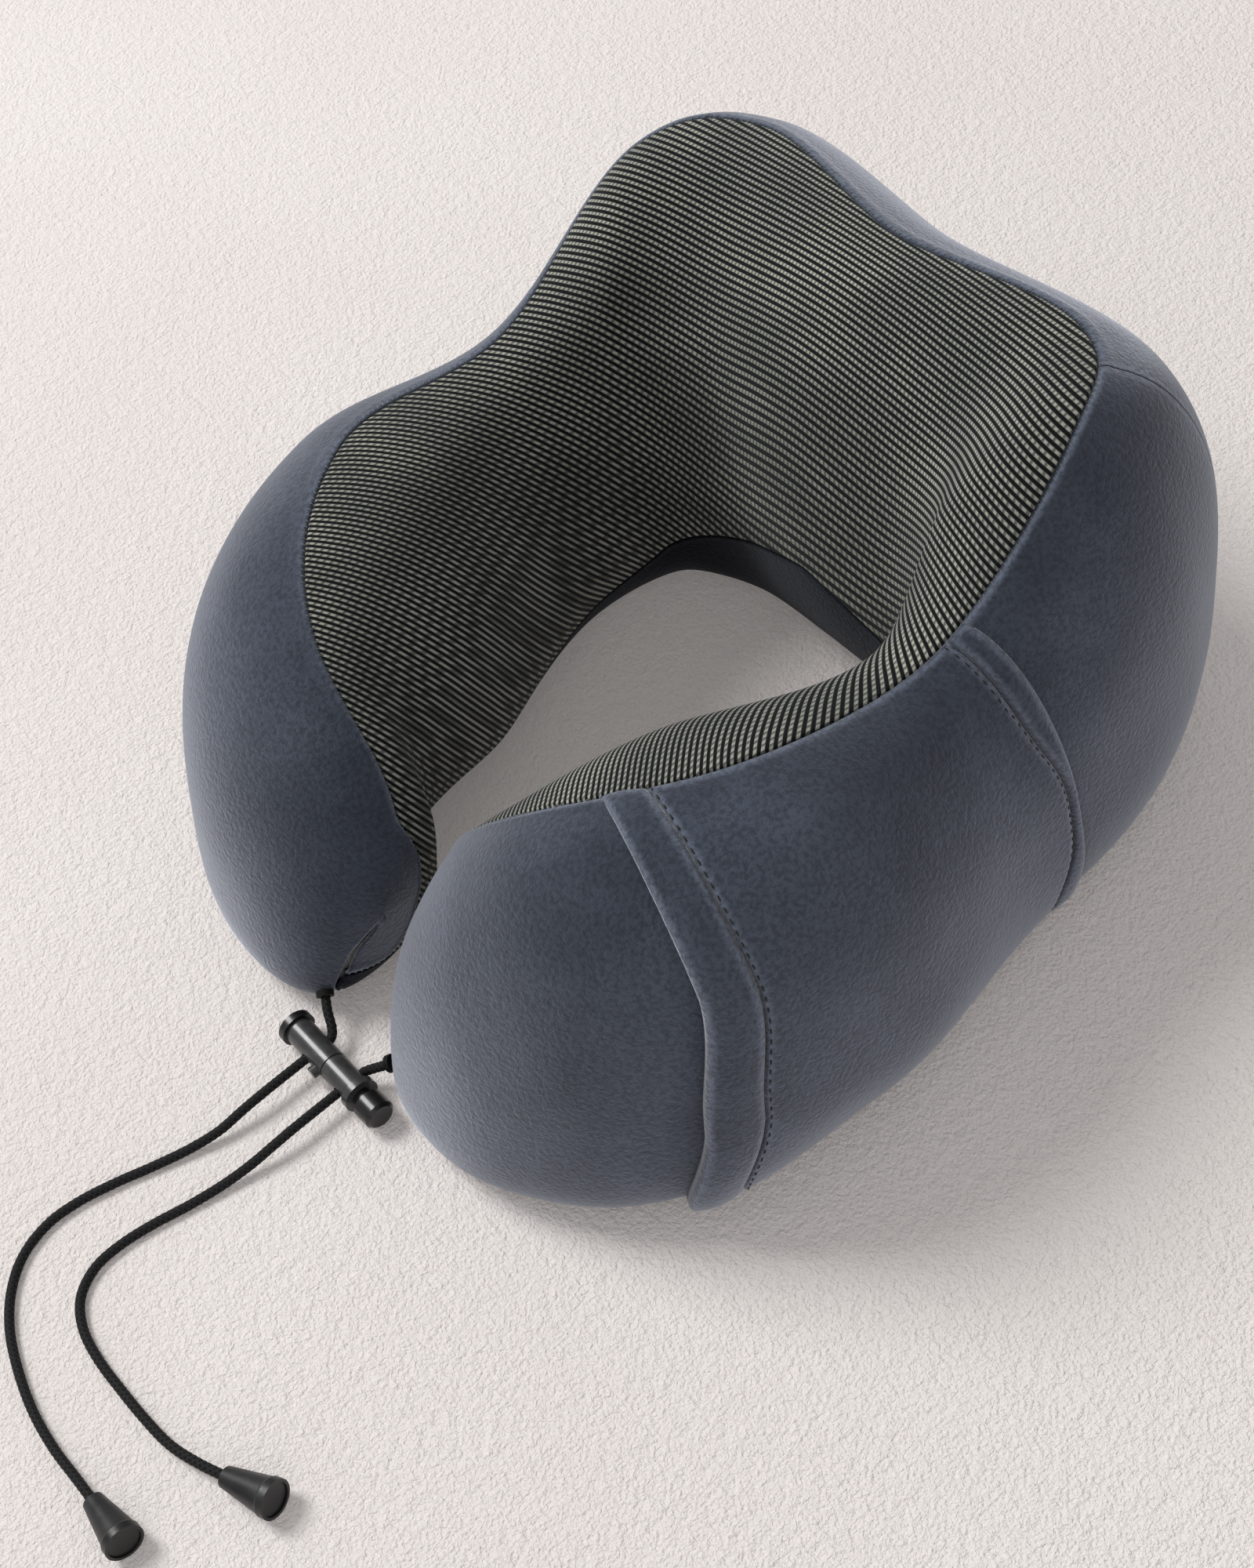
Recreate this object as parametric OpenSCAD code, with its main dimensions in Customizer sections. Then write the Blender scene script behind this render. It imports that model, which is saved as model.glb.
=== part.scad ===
// U-shaped travel neck pillow: a foam core in a thin liner, a zipped cover of velour and ribbed
// mesh with a phone pocket on the right arm, and two drawcords held by a push-button barrel lock.
// Millimetres, +Z up. The pillow stands on its flat base, its arms open toward -Y, and it is
// symmetric about X = 0 apart from the pocket, which is on the +X arm.

/* [Pillow] */
// Overall width across the two arms
pillow_w = 268; // [240:4:290]
// Overall depth from the back to the arms' tips
pillow_d = 289; // [265:4:310]
// Height of the two humps beside the neck
pillow_h = 158; // [145:2:170]

/* [Cover] */
// Thickness of the velour and mesh cover
cover_t = 1.2; // [1:0.1:1.6]
// Height of the velour neck band at the middle of the back
neck_band_h = 54; // [44:1:58]
// Thickness of the flat base panel
base_t = 1.4; // [1:0.1:1.8]

/* [Phone pocket] */
// Where the pocket's mouth crosses the arm, as a share of the arm's length
pocket_mouth = 0.755; // [0.72:0.005:0.8]
// Where the pocket's rear welt crosses the arm, as a share of the arm's length
pocket_rear = 0.465; // [0.4:0.005:0.55]

/* [Zip] */
// Length of the zip along the lower back
zip_l = 108; // [90:2:112]

/* [Cord lock] */
// Diameter of the drawcords
cord_d = 3.2; // [2.6:0.1:3.3]
// Length of the lock from its end cap to its push button
lock_l = 46; // [46:1:50]
// Diameter of the lock's barrel
lock_d = 9.4; // [9:0.1:10.4]
// Travel of the push button
button_travel = 3; // [2:0.5:3]

/* [Cord ends] */
// Length of each bell-shaped cord end
bell_l = 18; // [16:1:20]
// Diameter of each cord end at its wide end
bell_d = 12; // [11:0.5:12]

/* [Hidden] */
$fn = 48;

slate = [0.27, 0.31, 0.38];
slate_dark = [0.20, 0.23, 0.29];
mesh_grey = [0.22, 0.23, 0.22];
black = [0.06, 0.06, 0.06];

// ---- Shape of the pillow ----
// Stations along one arm, evenly spaced from the middle of the back to the arm's tip. Each row:
// x and y of the centreline, turn of the section plane, half width, height, share by which the
// inner side is lower, outward lean, and the angle in the section at which mesh meets velour.
STATIONS = [
    [ 0,   99,   0, 43, 156, -0.12,  0.15,  84],   // middle of the back
    [59,  100,  27, 46, 157, -0.10,  0.30,  78],   // hump beside the neck
    [87,   77,  36, 40, 154, -0.10,  0.14,  81],   // end of the hump
    [94,   25,  76, 29, 124,  0.03, -0.21,  81],   // waist
    [87,  -40,  94, 45, 135,  0.08, -0.28,  81],   // widest part of the arm
    [66,  -95, 118, 41, 122,  0.09, -0.60, 106],   // front of the arm
    [12, -122, 157, 32,  72,  0.13, -0.74, 132]    // tip
];
last = len(STATIONS) - 1;
scale_x = pillow_w / 268;
scale_y = pillow_d / 289;
scale_z = pillow_h / 158;
arm_l = 335;            // length of the centreline from the back to one tip
belly = 0.42;           // share of the height at which the section is widest
base_cut = 4;           // how far the round section is cut off by the flat base
tip_share = 0.1;        // share of the arm over which its tip rounds off
tip_slot = 0.1;         // width of the slot at the tip, as a share of the arm's width there
band_reach = 0.9;       // share of the arm at which the neck band ends
foot_angle = 60;        // section angle below the belly at which wall and base panel meet
binding = 4;            // height of the binding along the arms, as a section angle
band_spread = 0.33;     // share of the arm over which the neck band narrows to the binding

// Layers, as depths below the cover's outer face, and the lowest height of each
wall_low = base_t + 0.3;
liner_depth = 2.2;
liner_t = 0.6;
liner_low = wall_low + cover_t + 0.3;
foam_depth = 3.8;
foam_low = liner_low + liner_t + 0.4;

// Grid that all the fabric layers share, so that they lie parallel to each other
arm_rings = 19;         // rings along an arm before its rounded tip
tip_rings = 5;          // rings round the tip
outer_lines = 8;        // lines from the base up to the mesh seam
mesh_lines = 9;         // lines from the mesh seam down to the neck band
band_lines = 3;         // lines across the neck band
all_lines = outer_lines + mesh_lines + band_lines;
line_gap = 0.03;        // gap between two panels, in lines
ring_gap = 0.0009;      // gap between two panels, as a share of the arm
back_ring = 5;          // ring at which the back panel meets the side panels

// Value number c of the stations, at share u of the arm: a smooth curve through the rows
function row_value(k, c, odd) =
    k < 0 ? (odd ? -STATIONS[1][c] : STATIONS[1][c])
    : k > last ? 2 * STATIONS[last][c] - STATIONS[last - 1][c]
    : STATIONS[k][c];
function along(c, u, odd = false) =
    let (k = min(floor(u * last), last - 1), t = u * last - k,
         p = row_value(k - 1, c, odd), q = row_value(k, c, odd),
         r = row_value(k + 1, c, odd), s = row_value(k + 2, c, odd))
    (2 * q + t * (r - p) + t * t * (2 * p - 5 * q + 4 * r - s)
        + t * t * t * (3 * q - p - 3 * r + s)) / 2;

function signed_power(x, e) = sign(x) * pow(abs(x), e);
// 1 along the arm, falling over its rounded tip to a narrow slot, where the drawcord comes out
function tip_factor(u) =
    let (t = max(0, min(1, (u - 1 + tip_share) / tip_share)))
    sqrt(max(tip_slot * tip_slot, 1 - pow(t, 2.2)));

// Point of the section at share u, from -1 at the left tip to 1 at the right one, and section
// angle v: 0 is outward, 90 up, 180 toward the neck. It lies depth below the outer face and no
// lower than low.
function skin(u, v, depth = 0, low = 0) =
    let (s = abs(u) * (1 - depth / arm_l),
         w = along(3, s) - depth,
         h = along(4, s) * scale_z - depth,
         tip = tip_factor(s),
         up = sin(v) >= 0,
         reach = up ? cos(v) : signed_power(cos(v), 2 / 2.8),
         mid = belly * h,
         top = mid + (h - mid) * pow(abs(sin(v)), 2 / 2.6) - mid,
         z_up = mid + top * (1 - along(5, s) * (1 - reach) / 2),
         z_down = mid - mid * pow(abs(sin(v)), 2 / 3),
         out = w * tip * reach + along(6, s) * w * ((up ? z_up : z_down) / h - 0.5),
         z = up ? mid + (z_up - mid) * (1 - (1 - tip) * 0.75)
                : mid + (z_down - mid) * (1 - (1 - tip) * 0.55),
         a = 90 - along(2, s, true))
    [sign(u == 0 ? 1 : u) * (along(0, s, true) * scale_x + out * cos(a)),
     along(1, s) * scale_y + out * sin(a),
     max(z - base_cut, low)];

// How far the wall wraps under the arm: it closes up where the tip lifts off the floor
function foot(u) =
    let (t = max(0, min(1, (abs(u) - 1 + tip_share * 0.9) / (tip_share * 0.4))))
    foot_angle + (88 - foot_angle) * t * t * (3 - 2 * t);
// Height of the neck band as an angle: a crescent that runs out to a narrow binding
band_middle = foot_angle
    - asin(pow(1 - (neck_band_h + base_cut) / (belly * STATIONS[0][4] * scale_z), 1.5));
function band_angle(u) =
    binding + (band_middle - binding) * exp(-pow(abs(u) / band_spread, 1.6));
// Section angle of grid line j at share u
function line_angle(j, u) =
    let (seam = along(7, abs(u)), inner = 180 + foot(u), band = inner - band_angle(u),
         m = outer_lines + mesh_lines)
    j <= outer_lines ? -foot(u) + (seam + foot(u)) * j / outer_lines
    : j <= m ? seam + (band - seam) * (j - outer_lines) / mesh_lines
    : band + (inner - band) * (j - m) / band_lines;
// Share of the arm at ring k, negative on the left arm
function ring(k) =
    abs(k) <= arm_rings
    ? (1 - tip_share) * k / arm_rings
    : sign(k) * (1 - tip_share + tip_share * sin(89 * (abs(k) - arm_rings) / tip_rings));
tip_ring = arm_rings + tip_rings;
foam_reach = 0.985;     // the foam and its liner have blunt ends, and the cover closes over them

function rings_between(a, b) =
    concat([a], [for (k = [-tip_ring : tip_ring]) if (ring(k) > a + 0.004 && ring(k) < b - 0.004) ring(k)],
           [b]);
function lines_between(a, b) =
    concat([a], [for (j = [0 : all_lines]) if (j > a + 0.2 && j < b - 0.2) j], [b]);

function quad(a, b, c, d) = [[a, b, c], [a, c, d]];
// The same with its diagonal turned on the right arm, so that the two arms mirror each other;
// fabric leaves out the last facets at the tip, where the arm is only a slot wide
function turned_quad(a, b, c, d, right) = right ? quad(b, c, d, a) : quad(a, b, c, d);

// A piece of fabric over the grid from depth outer to depth inner
module fabric(us, js, outer, inner, low = 0) {
    ni = len(us);
    nj = len(js);
    n = ni * nj;
    skin_points = [
        for (layer = [0, 1])
            for (u = us)
                for (j = js)
                    skin(u, line_angle(j, u), layer == 0 ? outer : inner,
                         layer == 0 ? low : low + inner - outer)
    ];
    faces = [
        for (i = [0 : ni - 2])
            for (j = [0 : nj - 2])
                let (a = i * nj + j, b = a + nj, right = us[i] + us[i + 1] > 0 && us[i] < 0.99)
                each concat(turned_quad(a, b, b + 1, a + 1, right),
                            turned_quad(n + a, n + a + 1, n + b + 1, n + b, right)),
        for (i = [0 : ni - 2])
            let (a = i * nj, b = a + nj, c = a + nj - 1, d = b + nj - 1)
            each concat(quad(b, a, n + a, n + b), quad(c, d, n + d, n + c)),
        for (j = [0 : nj - 2])
            let (a = j, c = (ni - 1) * nj + j)
            each concat(quad(a, a + 1, n + a + 1, n + a),
                        quad(c + 1, c, n + c, n + c + 1))
    ];
    polyhedron(skin_points, faces);
}

// A closed body inside the fabric: rings of points joined end to end
module closed_body(us, js, depth, low) {
    ni = len(us);
    nj = len(js);
    body_points = [for (u = us) for (j = js) skin(u, line_angle(j, u), depth, low)];
    faces = [
        for (i = [0 : ni - 2])
            for (j = [0 : nj - 1])
                let (a = i * nj + j, c = i * nj + (j + 1) % nj)
                each turned_quad(a, a + nj, c + nj, c, us[i] + us[i + 1] > 0),
        [for (j = [0 : nj - 1]) j],
        [for (j = [nj - 1 : -1 : 0]) (ni - 1) * nj + j]
    ];
    polyhedron(body_points, faces);
}

// A flat panel under the pillow, inside the wall's lower edge
module base_sheet(z, t, depth, reach) {
    us = [for (k = [-tip_ring : tip_ring]) if (abs(ring(k)) <= reach) ring(k)];
    outer_edge = [for (u = us) skin(u, -foot(u) - 0.4, depth)];
    inner_edge = [for (k = [len(us) - 1 : -1 : 0]) skin(us[k], 180 + foot(us[k]) + 0.4, depth)];
    translate([0, 0, z])
        linear_extrude(t)
            polygon([for (p = concat(outer_edge, inner_edge)) [p[0], p[1]]]);
}

// ---- Foam and liner ----
module foam_core() {
    color([0.86, 0.84, 0.76])
        closed_body(rings_between(-foam_reach, foam_reach), lines_between(0, all_lines),
                    foam_depth, foam_low);
}

module liner_upper() {
    color([0.92, 0.92, 0.92])
        fabric(rings_between(-foam_reach, foam_reach), lines_between(0, all_lines),
               liner_depth, liner_depth + liner_t, liner_low);
}

module liner_base() {
    color([0.92, 0.92, 0.92])
        base_sheet(liner_low, liner_t, liner_depth + 2, 0.93);
}

// ---- Cover ----
module velour(u_from, u_to) {
    color(slate)
        fabric(rings_between(u_from, u_to), lines_between(0, outer_lines - line_gap),
               0, cover_t, wall_low);
}

module cover_back_panel() {
    velour(-ring(back_ring) + ring_gap, ring(back_ring) - ring_gap);
}

module cover_left_panel() {
    velour(-1, -ring(back_ring));
}

module cover_right_panel() {
    mirror([1, 0, 0])
        velour(-1, -ring(back_ring));
}

module cover_mesh_panel() {
    color(mesh_grey)
        fabric(rings_between(-1, 1),
               lines_between(outer_lines + line_gap, outer_lines + mesh_lines - line_gap),
               0, cover_t, wall_low);
}

module cover_neck_band() {
    color(slate_dark)
        fabric(rings_between(-band_reach, band_reach),
               lines_between(outer_lines + mesh_lines + line_gap, all_lines),
               0, cover_t, wall_low);
}

module cover_base_panel() {
    color(slate_dark)
        base_sheet(0, base_t, 0, 0.94);
}

// ---- Phone pocket ----
pocket_gap = 0.7;       // clear of the cover under it
pocket_t = 1.2;
hem_w = 0.033;          // width of the hem, as a share of the arm
welt_w = 0.012;

module pocket_panel() {
    color(slate)
        fabric(rings_between(pocket_rear + welt_w + ring_gap, pocket_mouth - hem_w - ring_gap),
               lines_between(0.2, outer_lines - 0.2),
               -pocket_gap - pocket_t, -pocket_gap, base_t);
}

// The hem is folded round an elastic tape, so it is a sleeve of two plies joined at its mouth
module pocket_hem() {
    color(slate)
        difference() {
            fabric([pocket_mouth - hem_w, pocket_mouth - hem_w / 2, pocket_mouth],
                   lines_between(0.2, outer_lines - 0.2),
                   -pocket_gap - 3.2, -pocket_gap, base_t);
            hem_channel(0.15, 0);
        }
}

module hem_channel(room, end) {
    fabric([pocket_mouth - hem_w * 0.8, pocket_mouth - hem_w * 0.5, pocket_mouth - hem_w * 0.2],
           lines_between(end, outer_lines - end),
           -pocket_gap - 2.1 - room, -pocket_gap - 1.1 + room, base_t);
}

module pocket_elastic() {
    color([0.9, 0.9, 0.88])
        hem_channel(0, 1);
}

module pocket_welt() {
    color(slate)
        fabric([pocket_rear, pocket_rear + welt_w / 2, pocket_rear + welt_w],
               lines_between(0.2, outer_lines - 0.2),
               -pocket_gap - 2.6, -pocket_gap, base_t);
}

// ---- Zip on the lower back ----
// The wall is straight there, so the zip is straight too. It lies on a plane that leans with the
// wall: local x runs along the zip, local y down the wall and local z out from it.
zip_z = 13.2;
zip_y = 133.4;
zip_lean = 126.3;
tape_w = 5.5;
tape_t = 0.6;
coil_w = 1.3;
coil_t = 1.2;
coil_gap = 0.1;
slider_l = 8;
slider_travel = 84;     // from the closed end to the open one
slider_x = -zip_l / 2 + 10;
pull_l = 10;

module zip_frame() {
    translate([0, zip_y, zip_z])
        rotate([-zip_lean, 0, 0])
            children();
}

module bar(x0, x1, y0, y1, z0, z1) {
    translate([x0, y0, z0])
        cube([x1 - x0, y1 - y0, z1 - z0]);
}

module zip_tapes() {
    color(black)
        zip_frame()
            for (side = [-1, 1])
                bar(-zip_l / 2, zip_l / 2,
                    side > 0 ? 0.15 : -tape_w, side > 0 ? tape_w : -0.15, 0, tape_t);
}

module zip_coil(side) {
    pitch = 1.8;
    turns = floor((zip_l - 12) / pitch);
    color(black)
        zip_frame()
            for (k = [0 : turns - 1])
                translate([-zip_l / 2 + 6 + (k + 0.5 + side * 0.25) * pitch, 0, tape_t])
                    bar(-0.4, 0.4, side > 0 ? coil_gap / 2 : -coil_w,
                        side > 0 ? coil_w : -coil_gap / 2, 0.02, coil_t);
}

module zip_coil_upper() {
    zip_coil(-1);
}

module zip_coil_lower() {
    zip_coil(1);
}

module zip_stops() {
    color([0.1, 0.1, 0.1])
        zip_frame()
            for (end = [-1, 1])
                bar(end * (zip_l / 2 - 3.5) - 1.2, end * (zip_l / 2 - 3.5) + 1.2,
                    -2.2, 2.2, tape_t + 0.02, tape_t + 1.3);
}

// The slider rides over the coil: a roof with two side walls, and a bridge that holds the pull
slider_floor = tape_t + 0.3;
slider_roof = tape_t + coil_t + 0.35;
bridge_z = slider_roof + 2.6;
module zip_slider() {
    color([0.12, 0.12, 0.12])
        zip_frame()
            translate([slider_x, 0, 0]) {
                bar(-slider_l / 2, slider_l / 2, -2.9, 2.9, slider_roof, slider_roof + 0.9);
                for (side = [-1, 1])
                    bar(-slider_l / 2, slider_l / 2,
                        side > 0 ? 2 : -2.9, side > 0 ? 2.9 : -2, slider_floor, slider_roof + 0.1);
                difference() {
                    union() {
                        for (side = [-1, 1])
                            bar(-1.8, 1.8, side > 0 ? 1.5 : -2.4, side > 0 ? 2.4 : -1.5,
                                slider_roof + 0.8, bridge_z + 1.2);
                    }
                    translate([0, 0, bridge_z])
                        rotate([90, 0, 0])
                            cylinder(d = 1.3, h = 10, center = true);
                }
            }
}

module zip_pull() {
    color([0.12, 0.12, 0.12])
        zip_frame()
            translate([slider_x, 0, bridge_z]) {
                rotate([90, 0, 0])
                    cylinder(d = 1.2, h = 4.8, center = true);
                difference() {
                    union() {
                        bar(0, pull_l - 2, -1.2, 1.2, -0.45, 0.45);
                        translate([pull_l - 3, 0, -0.45])
                            linear_extrude(0.9)
                                hull() {
                                    circle(d = 2.4);
                                    translate([3, 0])
                                        circle(d = 5);
                                }
                    }
                    translate([pull_l, 0, -1])
                        cylinder(d = 2, h = 2);
                }
            }
}

// ---- Drawcords ----
// Routes of the two cords: out of the arm's tip, through the lock, and over the floor
cord_left_route = [
    [-17, -137, 11.5], [-13.4, -139.4, 9.6], [-9.4, -141.4, 7.6], [-7.1, -143.8, 6.4],
    [-7, -148, 6.3], [-7, -155, 6.3], [-7, -163, 6.3], [-7, -171, 6.2], [-7.3, -178, 5.4],
    [-8, -187, 3.6], [-10.5, -197, 2.2], [-14, -208, 1.7], [-18, -220, 1.7], [-21, -232, 1.7],
    [-21.5, -243, 1.7], [-18, -254, 1.7], [-10.5, -263, 1.7], [0, -270, 1.7], [13, -275, 1.7],
    [27, -278.5, 1.8], [41, -280, 2.3], [54, -280, 3.2], [66, -280, 4.2]
];
cord_right_route = [
    [16.8, -137.3, 11.4], [14.6, -139.4, 9.8], [12, -141.4, 7.8], [10.1, -143.8, 6.4],
    [10, -148, 6.3], [10, -155, 6.3], [10, -163, 6.3], [10, -171, 6.2], [9.7, -178, 5.4],
    [8.8, -187, 3.6], [7.2, -197, 2.2], [5, -208, 1.7], [2.4, -219, 1.7], [0.8, -230, 1.7],
    [1.5, -240, 1.7], [6.5, -248.5, 1.7], [15.5, -253.5, 1.7], [27, -255.5, 1.7],
    [40, -255.8, 1.8], [53, -255.6, 2.1], [65, -254.6, 2.7], [76, -251.6, 3.5], [87, -247.4, 4.3]
];
cord_sides = 8;
collar_l = 1.8;
collar_d = 5.6;

function curve_point(list, k, t) =
    let (n = len(list) - 1,
         p = k > 0 ? list[k - 1] : 2 * list[0] - list[1], q = list[k], r = list[k + 1],
         s = k + 2 <= n ? list[k + 2] : 2 * list[n] - list[n - 1])
    (2 * q + t * (r - p) + t * t * (2 * p - 5 * q + 4 * r - s)
        + t * t * t * (3 * q - p - 3 * r + s)) / 2;
function smooth(list) =
    [for (k = [0 : len(list) - 2]) for (t = [0, 0.5]) if (k % 2 == 0 || t == 0 || k < 5)
        curve_point(list, k, t),
     list[len(list) - 1]];
function unit(v) = v / norm(v);

module tube(path, d) {
    n = len(path);
    m = cord_sides;
    tube_points = [
        for (i = [0 : n - 1])
            let (way = unit(path[min(i + 1, n - 1)] - path[max(i - 1, 0)]),
                 side = unit(cross(way, [0, 0, 1])), up = cross(side, way))
            for (k = [0 : m - 1])
                path[i] + d / 2 * (cos(360 * (k + 0.5) / m) * side + sin(360 * (k + 0.5) / m) * up)
    ];
    faces = [
        for (i = [0 : n - 2])
            for (k = [0 : m - 1])
                let (a = i * m + k, b = i * m + (k + 1) % m)
                each quad(a, b, b + m, a + m),
        [for (k = [m - 1 : -1 : 0]) k],
        [for (k = [0 : m - 1]) (n - 1) * m + k]
    ];
    polyhedron(tube_points, faces);
}

module cord_left() {
    color(black)
        tube(smooth(cord_left_route), cord_d);
}

module cord_right() {
    color(black)
        tube(smooth(cord_right_route), cord_d);
}

// Turns a child whose axis is +Z so that it points from p to q, and puts it at p
module from_to(p, q) {
    v = unit(q - p);
    translate(p)
        rotate([0, acos(v[2]), atan2(v[1], v[0])])
            children();
}

module cord_collar(route) {
    color(black)
        from_to(route[0], route[1])
            translate([0, 0, -collar_l - 0.05])
                cylinder(d = collar_d, h = collar_l);
}

module cord_collar_left() {
    cord_collar(cord_left_route);
}

module cord_collar_right() {
    cord_collar(cord_right_route);
}

// ---- Cord lock ----
// Its axis is parallel to X. Distances along it are from the outer face of its end cap.
lock_x = -19.5;
lock_y = -149;
lock_z = 6.3;
lock_bore = 6.4;
shank_d = 6.2;
flange_d = 11.6;
flange_t = 2.4;
button_d = 10;
button_l = lock_l - 39;
hole_d = cord_d + 0.6;
hole_left = -7 - lock_x;
hole_right = 10 - lock_x;
housing_end = lock_l - button_l - button_travel - 0.2;
shank_start = 9;
slot_room = 0.15;

module lock_frame() {
    translate([lock_x, lock_y, lock_z])
        rotate([0, 90, 0])
            children();
}

module cross_hole(at) {
    translate([0, 0, at])
        rotate([90, 0, 0])
            cylinder(d = hole_d, h = 20, center = true);
}

module lock_housing() {
    color(black)
        lock_frame()
            difference() {
                union() {
                    translate([0, 0, flange_t + 0.05])
                        cylinder(d = lock_d, h = housing_end - flange_t - 0.05);
                    translate([0, 0, housing_end - flange_t])
                        cylinder(d = flange_d, h = flange_t);
                    translate([0, 0, 18])
                        rotate([90, 0, 0])
                            cylinder(d = 4, h = lock_d / 2 + 1.8);
                }
                translate([0, 0, flange_t - 1])
                    cylinder(d = lock_bore, h = lock_l);
                translate([0, 0, 20.6])
                    difference() {
                        cylinder(d = lock_d + 2, h = 0.5);
                        translate([0, 0, -1])
                            cylinder(d = lock_d - 0.7, h = 3);
                    }
                cross_hole(hole_left);
                cross_hole(hole_right);
            }
}

module lock_end_cap() {
    color(black)
        lock_frame() {
            cylinder(d = flange_d, h = flange_t);
            cylinder(d = lock_bore - 0.06, h = flange_t + 0.8);
        }
}

// Shown pressed together, as it is with the button fully in
module lock_spring() {
    color([0.7, 0.7, 0.72])
        lock_frame()
            for (k = [0 : 3])
                translate([0, 0, flange_t + 1.1 + k * 0.66])
                    rotate_extrude()
                        translate([2.1, 0])
                            circle(d = 0.6, $fn = 24);
}

module lock_plunger() {
    color(black)
        lock_frame()
            difference() {
                union() {
                    translate([0, 0, shank_start])
                        cylinder(d = shank_d, h = lock_l - shank_start - 1);
                    translate([0, 0, lock_l - button_l])
                        cylinder(d = button_d, h = button_l - 1);
                    translate([0, 0, lock_l - 1])
                        cylinder(d1 = button_d, d2 = button_d - 2, h = 1, $fn = 48);
                }
                for (at = [hole_left, hole_right])
                    translate([-hole_d / 2, -6, at - cord_d / 2 - slot_room])
                        cube([hole_d, 12, cord_d + 2 * slot_room + button_travel]);
            }
}

// ---- Cord ends ----
// Each bell rests on the floor by its rim, so its axis rises from the cord to the wide end
bell_left_at = [64, -280, 4.05];
bell_left_way = 0;
bell_right_at = [85, -248.2, 4.05];
bell_right_way = 21;
bell_tilt = 7;
mouth_d = 6.4;
bell_bore = cord_d + 0.4;
throat_l = 4.2;
lid_t = 1.4;
lid_seat = 2;           // depth of the ledge that the lid rests on
wall = 0.9;

module bell_frame(at, way) {
    translate(at)
        rotate([0, 90 - bell_tilt, way])
            children();
}

module bell(at, way) {
    color(black)
        bell_frame(at, way)
            rotate_extrude()
                polygon([
                    [bell_bore / 2, 0], [mouth_d / 2, 0], [bell_d / 2 - 0.4, bell_l - 3],
                    [bell_d / 2, bell_l - 2.4], [bell_d / 2, bell_l],
                    [bell_d / 2 - wall, bell_l], [bell_d / 2 - wall, bell_l - lid_seat],
                    [bell_d / 2 - wall - 0.7, bell_l - lid_seat],
                    [mouth_d / 2 - 0.1, throat_l], [bell_bore / 2, throat_l]
                ]);
}

module bell_lid(at, way) {
    color(black)
        bell_frame(at, way)
            translate([0, 0, bell_l - lid_seat + 0.02])
                cylinder(d = bell_d - 2 * wall - 0.2, h = lid_t);
}

module bell_knot(at, way) {
    color(black)
        bell_frame(at, way)
            translate([0, 0, throat_l + 0.15])
                cylinder(d = 5.4, h = 3.6);
}

module cord_end_left() {
    bell(bell_left_at, bell_left_way);
}

module cord_end_right() {
    bell(bell_right_at, bell_right_way);
}

module cord_end_lid_left() {
    bell_lid(bell_left_at, bell_left_way);
}

module cord_end_lid_right() {
    bell_lid(bell_right_at, bell_right_way);
}

module cord_knot_left() {
    bell_knot(bell_left_at, bell_left_way);
}

module cord_knot_right() {
    bell_knot(bell_right_at, bell_right_way);
}

foam_core();
liner_upper();
liner_base();
cover_back_panel();
cover_left_panel();
cover_right_panel();
cover_mesh_panel();
cover_neck_band();
cover_base_panel();
pocket_panel();
pocket_hem();
pocket_elastic();
pocket_welt();
zip_tapes();
zip_coil_upper();
zip_coil_lower();
zip_stops();
zip_slider();
zip_pull();
cord_collar_left();
cord_collar_right();
cord_left();
cord_right();
lock_housing();
lock_end_cap();
lock_spring();
lock_plunger();
cord_end_left();
cord_end_right();
cord_end_lid_left();
cord_end_lid_right();
cord_knot_left();
cord_knot_right();
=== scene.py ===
"""Looks of the U-shaped travel neck pillow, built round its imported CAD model.

The CAD parts give places and sizes. This script adds the cloth: velour and ribbed mesh panels over a
foam core, the phone pocket, the stitching, the braided drawcords and the moulded cord lock.
Metres, +Z up, arms open toward -Y, phone pocket on the +X arm.
"""
import math

import bpy
import numpy as np
from mathutils import Matrix, Vector


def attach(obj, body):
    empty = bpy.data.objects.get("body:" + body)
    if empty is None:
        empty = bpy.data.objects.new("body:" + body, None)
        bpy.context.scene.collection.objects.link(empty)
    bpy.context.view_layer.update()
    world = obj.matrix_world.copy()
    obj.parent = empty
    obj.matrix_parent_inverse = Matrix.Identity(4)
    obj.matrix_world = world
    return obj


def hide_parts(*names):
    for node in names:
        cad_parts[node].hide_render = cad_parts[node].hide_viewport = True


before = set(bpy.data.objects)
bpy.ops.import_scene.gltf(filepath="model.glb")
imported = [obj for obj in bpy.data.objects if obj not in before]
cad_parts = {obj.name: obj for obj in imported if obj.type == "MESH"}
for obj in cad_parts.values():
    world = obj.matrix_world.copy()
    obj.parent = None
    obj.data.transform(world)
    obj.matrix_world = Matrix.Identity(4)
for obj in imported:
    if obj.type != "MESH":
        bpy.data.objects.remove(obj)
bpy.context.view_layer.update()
MM = 0.001


# ---------------------------------------------------------------- camera
TARGET = Vector((0.025, -0.038, 0.060))
CAMERA_TURN = 64.4        # degrees from looking along +Y, toward -X
CAMERA_RISE = 51.8        # degrees above the floor
CAMERA_ROLL = 17.7        # degrees that the camera leans
CAMERA_DISTANCE = 0.809
SENSOR = 0.036
LENS = 63.5


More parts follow.
